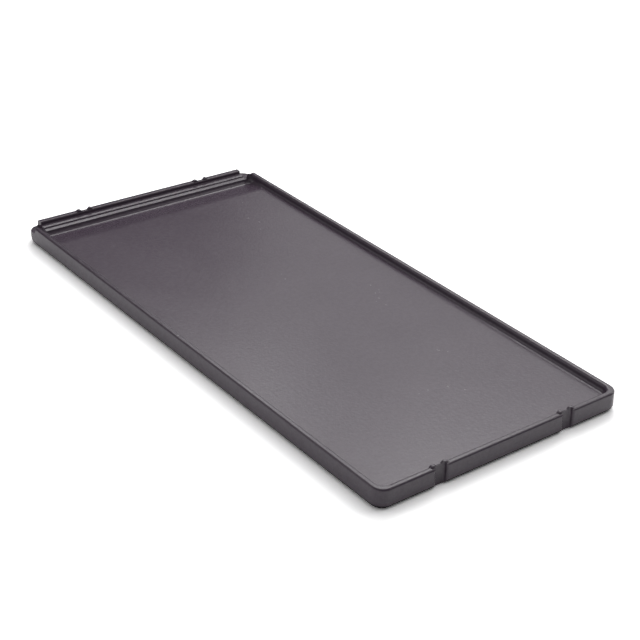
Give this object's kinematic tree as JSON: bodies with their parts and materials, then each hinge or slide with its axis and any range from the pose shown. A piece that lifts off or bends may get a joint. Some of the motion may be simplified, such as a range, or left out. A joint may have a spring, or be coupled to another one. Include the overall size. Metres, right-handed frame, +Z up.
{
  "type": "camp griddle plate",
  "caption": "Flat rectangular griddle plate with a low rim, a rear grease trough under a stepped rail, open rear corners and locating notches at both ends.",
  "frame": {"origin": "centre of the outline at the level of the skirt's resting face", "axes": "+Z up, +Y along the length towards the rear rail, +X to the right seen from the front"},
  "size_m": [0.2364, 0.4844, 0.018],
  "materials": {
    "iron": "satin dark grey fired finish, fine orange-peel grain",
    "coat": "satin purple-grey fired coat with a fine speckle"
  },
  "bodies": {
    "root": {"plate_casting": "iron", "cooking_coat": "coat"}
  },
  "joints": []
}
